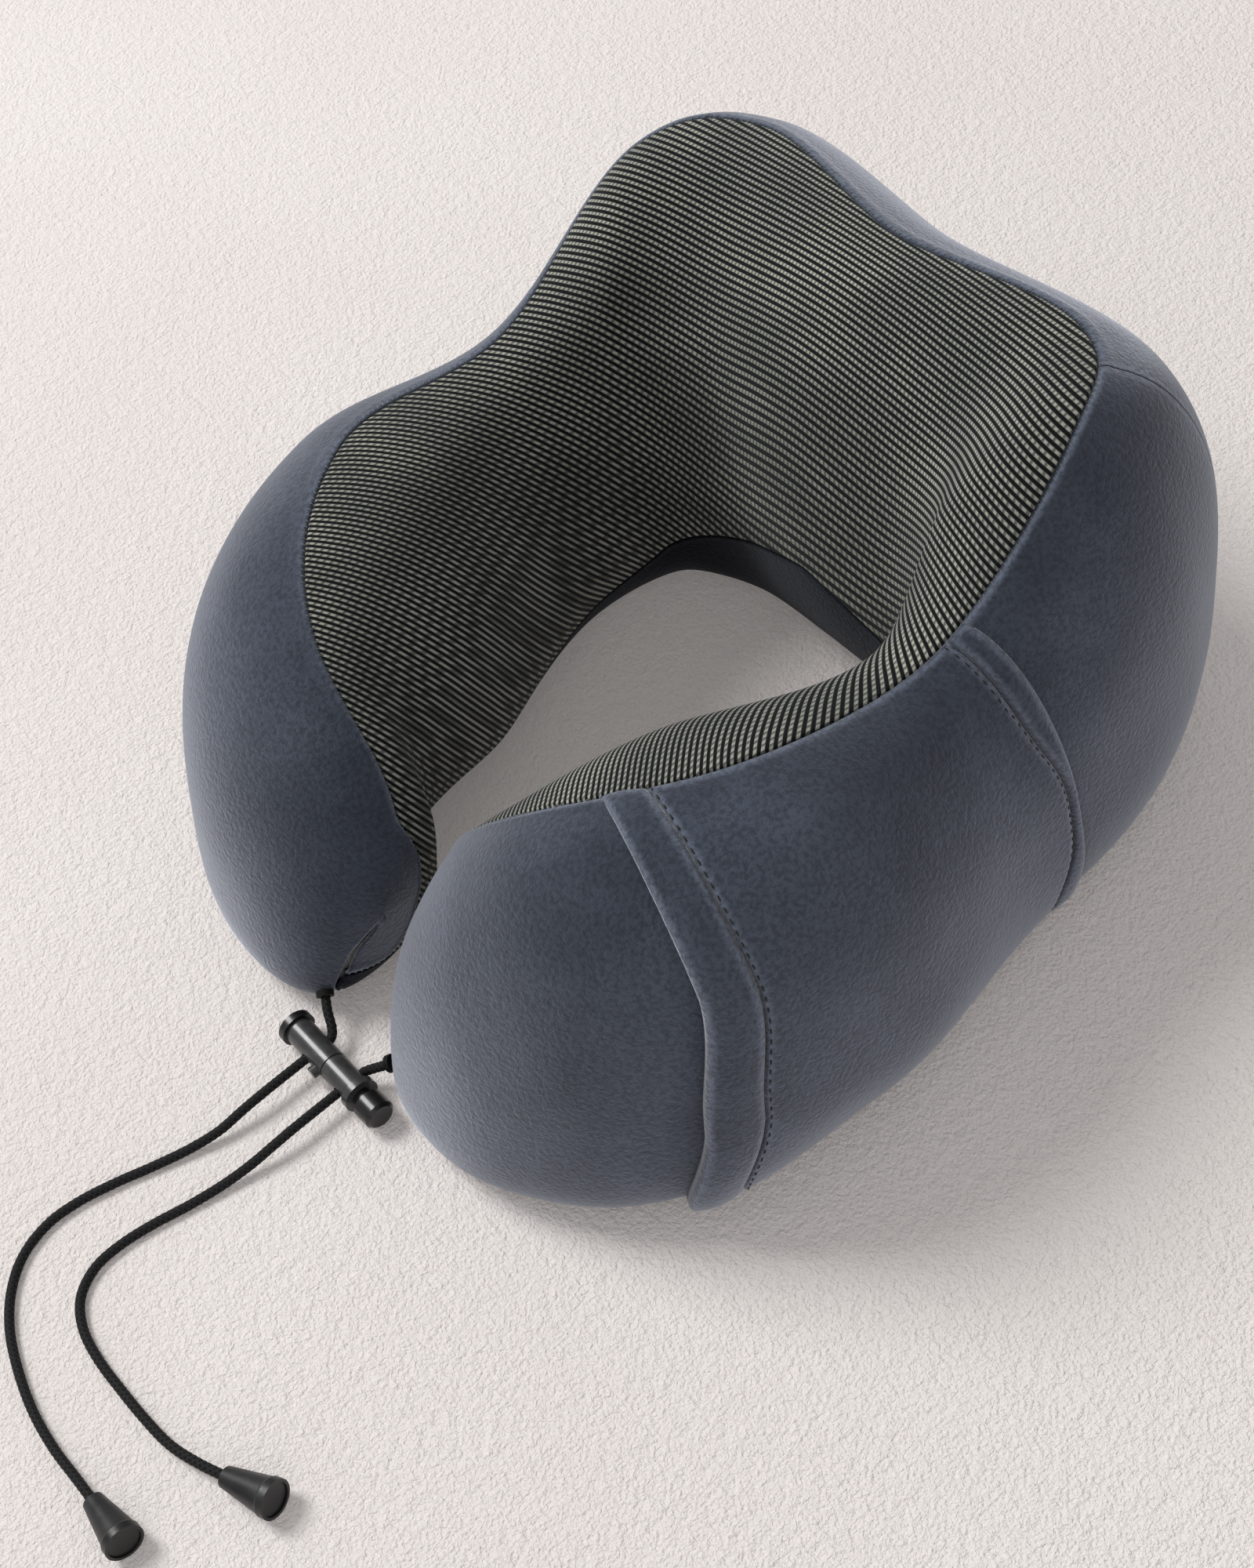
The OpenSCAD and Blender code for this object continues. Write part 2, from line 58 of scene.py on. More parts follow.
def make_camera():
    turn, rise, roll = (math.radians(a) for a in (CAMERA_TURN, CAMERA_RISE, CAMERA_ROLL))
    level = Vector((math.cos(turn), math.sin(turn), 0))
    ahead = Vector((-math.sin(turn), math.cos(turn), 0)) * math.cos(rise) - Vector((0, 0, math.sin(rise)))
    above = level.cross(ahead)
    right = level * math.cos(roll) - above * math.sin(roll)
    up = level * math.sin(roll) + above * math.cos(roll)
    data = bpy.data.cameras.new("camera")
    data.lens = LENS
    data.sensor_fit = "AUTO"
    data.sensor_width = SENSOR / MM
    data.clip_start = 0.01
    camera = bpy.data.objects.new("camera", data)
    bpy.context.scene.collection.objects.link(camera)
    camera.matrix_world = Matrix((
        (right.x, up.x, -ahead.x, 0), (right.y, up.y, -ahead.y, 0),
        (right.z, up.z, -ahead.z, 0), (0, 0, 0, 1),
    ))
    camera.location = TARGET - ahead * CAMERA_DISTANCE
    bpy.context.scene.camera = camera


make_camera()


# ---------------------------------------------------------------- materials
class Nodes:
    """A short way to wire a material's nodes."""

    def __init__(self, name):
        self.material = bpy.data.materials.new(name)
        self.material.use_nodes = True
        self.tree = self.material.node_tree
        self.tree.nodes.clear()
        self.out = self.tree.nodes.new("ShaderNodeOutputMaterial")
        self.shader = self.tree.nodes.new("ShaderNodeBsdfPrincipled")
        self.tree.links.new(self.shader.outputs[0], self.out.inputs[0])

    def link(self, value, socket):
        if isinstance(value, bpy.types.NodeSocket):
            self.tree.links.new(value, socket)
        else:
            socket.default_value = value

    def object_place(self):
        return self.tree.nodes.new("ShaderNodeTexCoord").outputs["Object"]

    def stretched(self, place, scale):
        node = self.tree.nodes.new("ShaderNodeMapping")
        self.link(place, node.inputs["Vector"])
        node.inputs["Scale"].default_value = scale
        return node.outputs[0]

    def noise(self, place, scale, detail=2.0, rough=0.5):
        node = self.tree.nodes.new("ShaderNodeTexNoise")
        self.link(place, node.inputs["Vector"])
        node.inputs["Scale"].default_value = scale
        node.inputs["Detail"].default_value = detail
        node.inputs["Roughness"].default_value = rough
        return node.outputs["Fac"]

    def math(self, kind, a, b=0.0, c=0.0):
        node = self.tree.nodes.new("ShaderNodeMath")
        node.operation = kind
        for value, socket in zip((a, b, c), node.inputs):
            self.link(value, socket)
        return node.outputs[0]

    def spread(self, value, low, high, to_low=0.0, to_high=1.0):
        node = self.tree.nodes.new("ShaderNodeMapRange")
        node.interpolation_type = "SMOOTHSTEP"
        for given, socket in zip((value, low, high, to_low, to_high), node.inputs):
            self.link(given, socket)
        return node.outputs[0]

    def mix(self, factor, a, b):
        node = self.tree.nodes.new("ShaderNodeMix")
        node.data_type = "RGBA"
        self.link(factor, node.inputs[0])
        self.link(a, node.inputs[6])
        self.link(b, node.inputs[7])
        return node.outputs[2]

    def uv(self, name):
        node = self.tree.nodes.new("ShaderNodeUVMap")
        node.uv_map = name
        apart = self.tree.nodes.new("ShaderNodeSeparateXYZ")
        self.link(node.outputs[0], apart.inputs[0])
        return apart.outputs[0], apart.outputs[1]

    def bump(self, height, strength, distance):
        node = self.tree.nodes.new("ShaderNodeBump")
        node.inputs["Strength"].default_value = strength
        node.inputs["Distance"].default_value = distance
        self.link(height, node.inputs["Height"])
        return node.outputs[0]

    def set(self, **sockets):
        names = {
            "color": "Base Color", "rough": "Roughness", "normal": "Normal", "metal": "Metallic",
            "sheen": "Sheen Weight", "sheen_rough": "Sheen Roughness", "sheen_tint": "Sheen Tint",
            "specular": "Specular IOR Level", "coat": "Coat Weight", "coat_rough": "Coat Roughness",
            "glow": "Emission Strength", "glow_color": "Emission Color",
        }
        for key, value in sockets.items():
            self.link(value, self.shader.inputs[names[key]])
        return self.material


def rgb(r, g, b):
    """A colour given as it looks on a screen, 0 to 255."""
    def line(v):
        v = v / 255
        return v / 12.92 if v <= 0.04045 else ((v + 0.055) / 1.055) ** 2.4
    return (line(r), line(g), line(b), 1.0)


def velour(name, base, shade, sheen):
    """Short pile, mottled where it leans and brushed lighter in places, with a painted highlight along its
    stitched edges and painted shade where it rolls into a seam.
    """
    n = Nodes(name)
    place = n.object_place()
    edge, _ = n.uv("edge")
    tuft = n.noise(place, 700, 3, 0.6)
    pile = n.noise(place, 2600, 2, 0.6)
    lean = n.spread(n.noise(place, 15, 3, 0.6), 0.34, 0.68)
    # painted highlight: the colour lightens toward the stitched edges
    rim = n.spread(edge, 0.9 * MM, 3.2 * MM, 1.0, 0.0)
    # painted shade: the colour darkens where the cloth rolls into its seam
    painted_seam_shade = n.spread(edge, 0.0, 1.2 * MM, 1.0, 0.0)
    color = n.mix(lean, rgb(*shade), rgb(*base))
    color = n.mix(n.math("MULTIPLY", rim, 0.45), color, rgb(*(1.3 * c + 30 for c in base)))
    color = n.mix(n.math("MULTIPLY", painted_seam_shade, 0.85), color, rgb(*(0.35 * c for c in shade)))
    darker = n.mix(n.spread(tuft, 0.32, 0.64), rgb(*(0.5 * c for c in shade)), color)
    color = n.mix(0.5, color, darker)
    height = n.math("ADD", n.math("MULTIPLY", tuft, 0.8), n.math("MULTIPLY", pile, 0.2))
    normal = n.bump(height, 0.8, 0.0007)
    return n.set(color=color, rough=n.spread(tuft, 0.3, 0.7, 0.95, 0.8), normal=normal,
                 sheen=sheen, sheen_rough=0.48, sheen_tint=rgb(226, 231, 243), specular=0.1)


RIB_PITCH = 1.87 * MM
RIB_BREAK = 3.0 * MM


def ribbed_mesh():
    n = Nodes("ribbed_mesh")
    along, across = n.uv("weave")
    place = n.object_place()
    wander = n.math("MULTIPLY", n.math("SUBTRACT", n.noise(place, 60, 2), 0.5), 0.9)
    turns = n.math("ADD", n.math("MULTIPLY", across, 2 * math.pi / RIB_PITCH), wander)
    wave = n.math("MULTIPLY_ADD", n.math("SINE", turns), 0.5, 0.5)
    rib = n.spread(wave, 0.30, 0.72)
    row = n.math("FLOOR", n.math("DIVIDE", turns, 2 * math.pi))
    shifted = n.math("MULTIPLY_ADD", n.math("MODULO", row, 2.0), math.pi * 0.5,
                     n.math("MULTIPLY", along, 2 * math.pi / RIB_BREAK))
    breaks = n.math("MULTIPLY_ADD", n.math("SINE", shifted), 0.5, 0.5)
    knot = n.spread(breaks, 0.05, 0.55)
    yarn = n.math("MULTIPLY", rib, n.math("MULTIPLY_ADD", knot, 0.62, 0.38))
    fine = n.noise(place, 1800, 2, 0.6)
    patches = n.spread(n.noise(place, 38, 3), 0.3, 0.7)
    light = n.mix(patches, rgb(158, 160, 151), rgb(196, 196, 184))
    light = n.mix(n.math("MULTIPLY", fine, 0.5), light, rgb(110, 114, 109))
    color = n.mix(yarn, rgb(13, 16, 17), light)
    height = n.math("MULTIPLY_ADD", yarn, 0.85, n.math("MULTIPLY", fine, 0.15))
    normal = n.bump(height, 1.0, 0.0006)
    return n.set(color=color, rough=n.spread(yarn, 0, 1, 0.95, 0.72), normal=normal,
                 sheen=0.12, sheen_rough=0.5, sheen_tint=rgb(190, 195, 200), specular=0.2)


def woven(name, light, dark, pitch):
    """A plain weave in object space, for the liner and the zip's tape."""
    n = Nodes(name)
    place = n.object_place()
    apart = n.tree.nodes.new("ShaderNodeSeparateXYZ")
    n.link(place, apart.inputs[0])
    waves = [n.math("SINE", n.math("MULTIPLY", apart.outputs[k], 2 * math.pi / pitch)) for k in range(3)]
    weave = n.math("MULTIPLY", waves[0], n.math("ADD", waves[1], waves[2]))
    fine = n.noise(place, 900, 2)
    shade = n.spread(n.math("MULTIPLY_ADD", weave, 0.3, fine), 0.2, 0.9)
    color = n.mix(shade, rgb(*dark), rgb(*light))
    normal = n.bump(n.math("MULTIPLY_ADD", weave, 0.4, fine), 0.6, 0.0003)
    return n.set(color=color, rough=0.85, normal=normal, sheen=0.15, specular=0.2)


def foam():
    n = Nodes("foam")
    place = n.object_place()
    cells = n.noise(place, 900, 4, 0.7)
    cloud = n.noise(place, 20, 2)
    color = n.mix(n.spread(cells, 0.3, 0.7), rgb(205, 196, 168), rgb(238, 232, 210))
    color = n.mix(n.math("MULTIPLY", cloud, 0.4), color, rgb(226, 214, 178))
    return n.set(color=color, rough=0.95, normal=n.bump(cells, 0.5, 0.0006), specular=0.1)


def plastic(name, base, rough, scratch=0.25, coat=0.0):
    n = Nodes(name)
    place = n.object_place()
    wear = n.noise(n.stretched(place, (1.0, 0.35, 1.0)), 900, 3, 0.65)
    smear = n.noise(place, 140, 3, 0.6)
    color = n.mix(n.spread(smear, 0.3, 0.75), rgb(*base), rgb(*(1.35 * c + 4 for c in base)))
    uneven = n.spread(smear, 0.25, 0.75, rough * 0.8, rough * 1.25)
    normal = n.bump(wear, scratch, 0.00008)
    return n.set(color=color, rough=uneven, normal=normal, specular=0.5, coat=coat, coat_rough=0.15)


def braided():
    n = Nodes("braided_cord")
    around, along = n.uv("weave")
    place = n.object_place()
    left = n.math("SINE", n.math("MULTIPLY", n.math("ADD", around, along), 2 * math.pi))
    right = n.math("SINE", n.math("MULTIPLY", n.math("SUBTRACT", around, along), 2 * math.pi))
    strand = n.spread(n.math("MAXIMUM", left, right), 0.2, 0.95)
    fine = n.noise(place, 2600, 2)
    color = n.mix(n.math("MULTIPLY", strand, n.math("MULTIPLY_ADD", fine, 0.5, 0.5)),
                  rgb(6, 6, 7), rgb(40, 40, 43))
    normal = n.bump(n.math("MULTIPLY_ADD", strand, 0.6, n.math("MULTIPLY", fine, 0.4)), 0.6, 0.0003)
    return n.set(color=color, rough=0.7, normal=normal, sheen=0.06, sheen_rough=0.4, specular=0.25)


def thread(name, base):
    n = Nodes(name)
    place = n.object_place()
    fine = n.noise(place, 3000, 2)
    color = n.mix(n.spread(fine, 0.3, 0.7), rgb(*(0.7 * c for c in base)), rgb(*base))
    return n.set(color=color, rough=0.6, normal=n.bump(fine, 0.5, 0.0001), sheen=0.3, specular=0.3)


def steel():
    n = Nodes("spring_steel")
    place = n.object_place()
    drawn = n.noise(n.stretched(place, (1, 8, 8)), 700, 2)
    color = n.mix(drawn, rgb(150, 152, 156), rgb(205, 206, 210))
    return n.set(color=color, metal=1.0, rough=n.spread(drawn, 0.2, 0.8, 0.2, 0.4))


def floor_paint():
    n = Nodes("floor")
    place = n.object_place()
    soft = n.noise(place, 5, 3)
    trowel = n.noise(place, 260, 4, 0.62)
    tooth = n.noise(place, 760, 3, 0.6)
    color = n.mix(n.spread(soft, 0.2, 0.8), rgb(234, 228, 225), rgb(241, 236, 233))
    height = n.math("MULTIPLY_ADD", trowel, 0.55, n.math("MULTIPLY", tooth, 0.45))
    # the floor glows faintly: painted light that lifts its shadows and lights the pillow from below
    return n.set(color=color, rough=0.9, normal=n.bump(height, 1.0, 0.0034), specular=0.2,
                 glow=0.13, glow_color=rgb(255, 246, 243))


VELOUR = velour("velour", (80, 88, 103), (56, 63, 76), 0.95)
# the same velour painted dark: painted shade for the neck band and the base
VELOUR_PAINTED_SHADE = velour("velour_painted_shade", (20, 23, 31), (12, 14, 20), 0.15)
MESH = ribbed_mesh()
FOAM = foam()
LINER = woven("liner_cloth", (232, 232, 230), (190, 190, 188), 1.2 * MM)
TAPE = woven("zip_tape", (34, 34, 38), (14, 14, 16), 0.9 * MM)
CORD = braided()
LOCK = plastic("lock_plastic", (50, 50, 51), 0.34, 0.15, 0.4)
LOCK_CAP = plastic("lock_cap_plastic", (15, 15, 16), 0.34, 0.2, 0.2)
BELL = plastic("cord_end_plastic", (24, 24, 25), 0.42, 0.4)
COIL = plastic("zip_coil", (26, 26, 28), 0.4)
METAL = plastic("zip_enamel", (24, 24, 26), 0.3, 0.3, 0.4)
STEEL = steel()
THREAD = thread("thread", (150, 158, 168))
THREAD_DARK = thread("thread_dark", (13, 14, 19))


# ---------------------------------------------------------------- mesh helpers
def add_mesh(name, points, faces, material):
    """A smooth piece that belongs to the pillow's body."""
    mesh = bpy.data.meshes.new(name)
    mesh.from_pydata([tuple(p) for p in points], [], [tuple(int(k) for k in f) for f in faces])
    mesh.polygons.foreach_set("use_smooth", [True] * len(mesh.polygons))
    mesh.materials.append(material)
    mesh.update()
    piece = bpy.data.objects.new(name, mesh)
    bpy.context.scene.collection.objects.link(piece)
    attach(piece, "pillow")
    return piece


def grid_faces(rows, columns, start=0, close=False, flip=False):
    i = np.arange(rows - 1)[:, None]
    j = np.arange(columns if close else columns - 1)[None, :]
    k = (j + 1) % columns
    quads = np.stack(np.broadcast_arrays(i * columns + j, (i + 1) * columns + j,
                                         (i + 1) * columns + k, i * columns + k), -1).reshape(-1, 4)
    return (quads[:, ::-1] if flip else quads) + start


def add_uv(piece, name, per_vertex):
    layer = piece.data.uv_layers.new(name=name)
    loops = np.zeros(len(piece.data.loops), np.int32)
    piece.data.loops.foreach_get("vertex_index", loops)
    layer.data.foreach_set("uv", per_vertex[loops].astype(np.float32).ravel())


# ---------------------------------------------------------------- the pillow's shape
# The same stations as the CAD model's, evenly spaced from the middle of the back to the tip:
# x and y of the centreline, turn of the section, half width, height, drop of the inner side, lean,
# and the section angle of the seam between velour and mesh.
STATIONS = np.array([
    [0.000, 0.099, 0, 0.043, 0.156, -0.12, 0.15, 84],
    [0.059, 0.100, 27, 0.046, 0.157, -0.10, 0.30, 78],
    [0.087, 0.077, 36, 0.040, 0.154, -0.10, 0.14, 81],
    [0.094, 0.025, 76, 0.029, 0.124, 0.03, -0.21, 81],
    [0.087, -0.040, 94, 0.045, 0.135, 0.08, -0.28, 81],
    [0.066, -0.095, 118, 0.041, 0.122, 0.09, -0.60, 106],
    [0.012, -0.122, 157, 0.032, 0.072, 0.13, -0.74, 132],
])
LAST = len(STATIONS) - 1
ARM = 0.335               # length of the centreline from the back to one tip
BELLY = 0.42              # share of the height at which the section is widest
BASE_CUT = 0.004          # cut off underneath, so that the pillow stands flat
TIP_SHARE = 0.1           # share of the arm that rounds off to its tip
FOOT_OUT = 50             # section angle below the belly at which the outer wall meets the base
FOOT_IN = 60              # and at which the inner wall does
# grid lines round the section: base seam, mesh seam, neck band, inner base seam, and back
LINE_SEAM, LINE_BAND, LINE_FOOT, LINE_END = 8, 18, 20, 24
BAND_TOP = 181.5          # section angle of the neck band's upper edge at the middle of the back
BAND_FALL = 34            # how much lower it runs along the arms, as an angle
BAND_REACH = 0.33         # share of the arm over which it falls
SWEEP_FROM, SWEEP_TO = 0.958, 0.992   # where the mesh seam closes over the tip


def along(column, u, odd=False):
    v = STATIONS[:, column]
    ends = np.concatenate([[-v[1] if odd else v[1]], v, [2 * v[-1] - v[-2]]])
    k = np.minimum((u * LAST).astype(int), LAST - 1)
    t = u * LAST - k
    p, q, r, s = (ends[k + n] for n in range(4))
    return (2 * q + t * (r - p) + t * t * (2 * p - 5 * q + 4 * r - s)
            + t ** 3 * (3 * q - p - 3 * r + s)) / 2


def signed_power(x, e):
    return np.sign(x) * np.abs(x) ** e


def skin(u, angle):
    """The outer face at share u of the arm, -1 to 1, and section angle in degrees: 0 outward, 90 up."""
    u, angle = np.broadcast_arrays(np.asarray(u, float), np.asarray(angle, float))
    s, v = np.abs(u), np.radians(angle)
    w, h = along(3, s), along(4, s)
    t = np.clip((s - 1 + TIP_SHARE) / TIP_SHARE, 0, 1)
    tip = np.sqrt(np.clip(1 - t ** 2.2, 0.0004, 1))
    up = np.sin(v) >= 0
    reach = np.where(up, np.cos(v), signed_power(np.cos(v), 2 / 2.8))
    middle = BELLY * h
    top = (h - middle) * np.abs(np.sin(v)) ** (2 / 2.6)
    z_up = middle + top * (1 - along(5, s) * (1 - reach) / 2)
    z_down = middle - middle * np.abs(np.sin(v)) ** (2 / 3)
    out = w * tip * reach + along(6, s) * w * (np.where(up, z_up, z_down) / h - 0.5)
    z = np.where(up, middle + (z_up - middle) * (1 - (1 - tip) * 0.75),
                 middle + (z_down - middle) * (1 - (1 - tip) * 0.55))
    a = np.radians(90 - along(2, s, True))
    x = along(0, s, True) + out * np.cos(a)
    return np.stack([np.where(u < 0, -x, x), along(1, s) + out * np.sin(a),
                     np.maximum(z - BASE_CUT, 0)], -1)


def smooth_step(t):
    t = np.clip(t, 0, 1)
    return t * t * (3 - 2 * t)


def line_angle(line, u):
    """Section angle of grid line number line, 0 to 24, at share u."""
    s = np.abs(u)
    closing = smooth_step((s - 1 + TIP_SHARE * 0.9) / (TIP_SHARE * 0.4))
    foot_out = FOOT_OUT + (88 - FOOT_OUT) * closing
    foot_in = FOOT_IN + (88 - FOOT_IN) * closing
    inner = 180 + foot_in
    band = BAND_TOP + BAND_FALL * (1 - np.exp(-(s / BAND_REACH) ** 1.6))
    seam = along(7, s)
    seam = seam + (band - 0.8 - seam) * smooth_step((s - SWEEP_FROM) / (SWEEP_TO - SWEEP_FROM))
    stops = [-foot_out, seam, band, inner, 360 - foot_out]
    lines = [0, LINE_SEAM, LINE_BAND, LINE_FOOT, LINE_END]
    angle = np.zeros(np.broadcast(line, u).shape)
    for k in range(4):
        share = (line - lines[k]) / (lines[k + 1] - lines[k])
        inside = (line >= lines[k]) & (line <= lines[k + 1])
        angle = np.where(inside, stops[k] + (stops[k + 1] - stops[k]) * share, angle)
    return angle


def tip_spread(count):
    """Shares of the arm for the rings round its tip, closer together toward the end."""
    return 1 - TIP_SHARE + TIP_SHARE * np.sin(np.radians(np.linspace(0, 89.5, count + 1)[1:]))


# ---------------------------------------------------------------- cloth simulation of the cover
SIM_RINGS, SIM_TIP_RINGS = 64, 8
SIM_STEP = 0.25           # grid lines between two columns of the simulated cloth
SIM_FRAMES = 20
SMOOTHINGS = 12           # rounds that even out what the simulation gives
SLACK = 1.0 * MM          # how far inside the plain shape the cloth starts
RIPPLE = 0.2 * MM
FADE_FROM, FADE_OVER = 0.93, 0.06   # share of the arm where the cloth's movement fades out
PUFF_LIMIT = 1.8 * MM     # how far the cloth may swell from the plain shape
SINK_LIMIT = 0.6 * MM     # and how far it may sink
NECK_ROLL = 3.6 * MM      # how far the cloth stands out over the lower edge of the neck hole
sim_half = np.concatenate([np.linspace(0, 1 - TIP_SHARE, SIM_RINGS), tip_spread(SIM_TIP_RINGS)])
sim_u = np.concatenate([-sim_half[:0:-1], sim_half])
sim_lines = np.arange(0, LINE_END, SIM_STEP)


def grid_normals(points, closed_columns=False):
    """Outward normals of a grid whose rows run along the arm and whose columns run round it."""
    if closed_columns:
        padded = np.concatenate([points[:, -1:], points, points[:, :1]], 1)
        round_it = np.gradient(padded, axis=1)[:, 1:-1]
    else:
        round_it = np.gradient(points, axis=1)
    normal = np.cross(np.gradient(points, axis=0), round_it)
    length = np.linalg.norm(normal, axis=-1, keepdims=True)
    return -normal / np.maximum(length, 1e-12)


def simulate_cover():
    """How far the cover moves from the plain shape when it is stuffed: seams hold, cloth swells between."""
    uu, ll = np.meshgrid(sim_u, sim_lines, indexing="ij")
    rest = skin(uu, line_angle(ll, uu))
    rows, columns = rest.shape[:2]
    normal = grid_normals(rest, True)
    ripple = (np.sin(uu * 61 + ll * 1.3) + np.sin(uu * 37 - ll * 2.1 + 1.0) + np.sin(ll * 3.7 + uu * 17)) / 3
    start = rest + normal * (-SLACK + RIPPLE * ripple)[..., None]
    start[..., 2] = np.maximum(start[..., 2], 0)
    seam_distance = np.minimum.reduce([np.abs(ll - k) for k in (0, LINE_SEAM, LINE_FOOT, LINE_END)])
    hold = np.where((seam_distance < 0.1) | (rest[..., 2] < 0.5 * MM), 1.0, 0.0)
    start = np.where(hold[..., None] > 0, rest, start)
    faces = grid_faces(rows, columns, close=True, flip=True).tolist()
    for row in (0, rows - 1):
        base = row * columns
        for k in range(columns // 2):
            a, b = base + k, base + k + 1
            c, d = base + columns - k - 1, base + (columns - k) % columns
            ring = [d, c, b, a] if row else [a, b, c, d]
            ring = list(dict.fromkeys(ring))
            if len(ring) > 2:
                faces.append(ring)
    mesh = bpy.data.meshes.new("cover_sim")
    mesh.from_pydata(start.reshape(-1, 3).tolist(), [], faces)
    mesh.update()
    ghost = bpy.data.objects.new("cover_sim", mesh)
    bpy.context.scene.collection.objects.link(ghost)
    group = ghost.vertex_groups.new(name="held")
    group.add(np.nonzero(hold.ravel() > 0)[0].tolist(), 1.0, "REPLACE")
    cloth = ghost.modifiers.new("cloth", "CLOTH")
    settings = cloth.settings
    settings.quality = 5
    settings.mass = 0.25
    settings.tension_stiffness = 12
    settings.compression_stiffness = 12
    settings.shear_stiffness = 6
    settings.bending_stiffness = 0.4
    settings.use_pressure = True
    settings.uniform_pressure_force = 4
    settings.shrink_min = -0.02
    settings.vertex_group_mass = "held"
    settings.effector_weights.gravity = 0
    cloth.collision_settings.use_collision = False
    scene = bpy.context.scene
    for step in range(1, SIM_FRAMES + 1):
        scene.frame_set(step)
    shape = ghost.evaluated_get(bpy.context.evaluated_depsgraph_get()).data
    flat = np.zeros(len(shape.vertices) * 3, np.float32)
    shape.vertices.foreach_get("co", flat)
    moved = flat.reshape(rows, columns, 3).astype(float) - rest
    scene.frame_set(1)
    bpy.data.objects.remove(ghost)
    bpy.data.meshes.remove(mesh)
    outward = (moved * normal).sum(-1)
    print("cloth moved the cover by mm", np.round(np.percentile(outward, [0, 5, 50, 95, 100]) / MM, 2))
    outward = np.clip(outward, -SINK_LIMIT, PUFF_LIMIT)
    for _ in range(SMOOTHINGS):
        near = np.roll(outward, 1, 1) + np.roll(outward, -1, 1)
        near[1:-1] += outward[:-2] + outward[2:]
        near[[0, -1]] += 2 * outward[[0, -1]]
        outward = np.where(hold > 0, 0, 0.5 * outward + 0.125 * near)
    fade = 1 - smooth_step((np.abs(uu) - FADE_FROM) / FADE_OVER)
    return normal * (outward * fade)[..., None]


puff = simulate_cover()


def neck_roll(u, angle):
    """The cloth over the lower edge of the neck hole stands out toward the hole on both sides of the back."""
    side = np.exp(-((np.abs(u) - 0.24) / 0.13) ** 2)
    return NECK_ROLL * side * np.exp(-((angle - 226) / 17) ** 2)


def cover_at(u, line):
    """The stuffed cover at share u and grid line, each an array of the same shape."""
    angle = line_angle(line, u)
    flat = skin(u, angle)
    ahead = np.radians(90 - along(2, np.abs(u), True))
    inward = -np.stack([np.where(u < 0, -1, 1) * np.cos(ahead), np.sin(ahead), 0 * ahead], -1)
    flat = flat + inward * neck_roll(u, angle)[..., None]
    i = np.clip(np.interp(u, sim_u, np.arange(len(sim_u))), 0, len(sim_u) - 1.001)
    j = np.clip(line, 0, LINE_END) / SIM_STEP
    i0, j0 = i.astype(int), j.astype(int)
    fi, fj = (i - i0)[..., None], (j - j0)[..., None]
    columns = len(sim_lines)
    j1, j0 = (j0 + 1) % columns, j0 % columns
    moved = ((puff[i0, j0] * (1 - fi) + puff[i0 + 1, j0] * fi) * (1 - fj)
             + (puff[i0, j1] * (1 - fi) + puff[i0 + 1, j1] * fi) * fj)
    return flat + moved


EDGE_STEPS = np.array([0, 0.35, 0.8, 1.4, 2.2, 3.4]) * MM   # grid lines beside a seam, from the seam
TIP_RINGS = 26            # rings round each tip
LINE_WIDTH = 16 * MM      # about how far apart two grid lines are
ROUNDING = 6              # decimals that tell two grid lines apart


def spacing(u_from, u_to, step, edges=(True, True)):
    """Shares of the arm between two ends, at most step metres apart, closer together at the edges."""
    fine = EDGE_STEPS / ARM
    inside_low = fine if edges[0] else fine[:1]
    inside_high = fine if edges[1] else fine[:1]
    low, high = u_from + inside_low[-1], u_to - inside_high[-1]
    count = max(2, int(math.ceil((high - low) * ARM / step)) + 1)
    rows = np.linspace(low, high, count)
    rows = rows[np.abs(rows) <= 1 - TIP_SHARE]
    extra = [side * t for side in (-1, 1) for t in tip_spread(TIP_RINGS) if low < side * t < high]
    everything = np.concatenate([u_from + inside_low, rows, extra, u_to - inside_high[::-1]])
    return np.unique(everything.round(ROUNDING))


def line_spread(low, high, step):
    """Grid lines between two, closer together at both ends."""
    fine = EDGE_STEPS / LINE_WIDTH
    count = max(2, int(math.ceil((high - low) * LINE_WIDTH / step)))
    middle = np.linspace(low + fine[-1], high - fine[-1], count)
    return np.unique(np.concatenate([low + fine, middle, high - fine[::-1]]).round(ROUNDING))


def edge_distances(points):
    """For each point of a grid, how far it is from the first and last line and the first and last ring."""
    round_it = np.linalg.norm(np.diff(points, axis=1), axis=-1)
    length = np.concatenate([np.zeros((len(points), 1)), np.cumsum(round_it, 1)], 1)
    along_it = np.linalg.norm(np.diff(points, axis=0), axis=-1)
    reach = np.concatenate([np.zeros((1, points.shape[1])), np.cumsum(along_it, 0)], 0)
    return length, length[:, -1:] - length, reach, reach[-1:] - reach


def rolled_edge(distance, radius, depth):
    """How far a fabric's face sinks as it rolls over into a seam."""
    t = np.clip(distance / radius, 0, 1)
    return -depth * (1 - np.sqrt(1 - (1 - t) ** 2))


def thick_sheet(name, outer, inner, material):
    """A closed sheet of fabric between two grids of points."""
    rows, columns = outer.shape[:2]
    count = rows * columns
    points = np.concatenate([outer.reshape(-1, 3), inner.reshape(-1, 3)])
    rim = np.concatenate([
        np.arange(columns), np.arange(2, rows) * columns - 1,
        (rows - 1) * columns + np.arange(columns - 1, -1, -1), np.arange(rows - 2, 0, -1) * columns,
    ])
    after = np.roll(rim, -1)
    walls = np.stack([rim, after, after + count, rim + count], -1)
    faces = np.concatenate([grid_faces(rows, columns), grid_faces(rows, columns, count, flip=True), walls])
    return add_mesh(name, points, faces[:, ::-1], material)


SHEET = 1.2 * MM          # thickness of velour and mesh


def over(us, lines):
    return np.meshgrid(us, lines, indexing="ij")


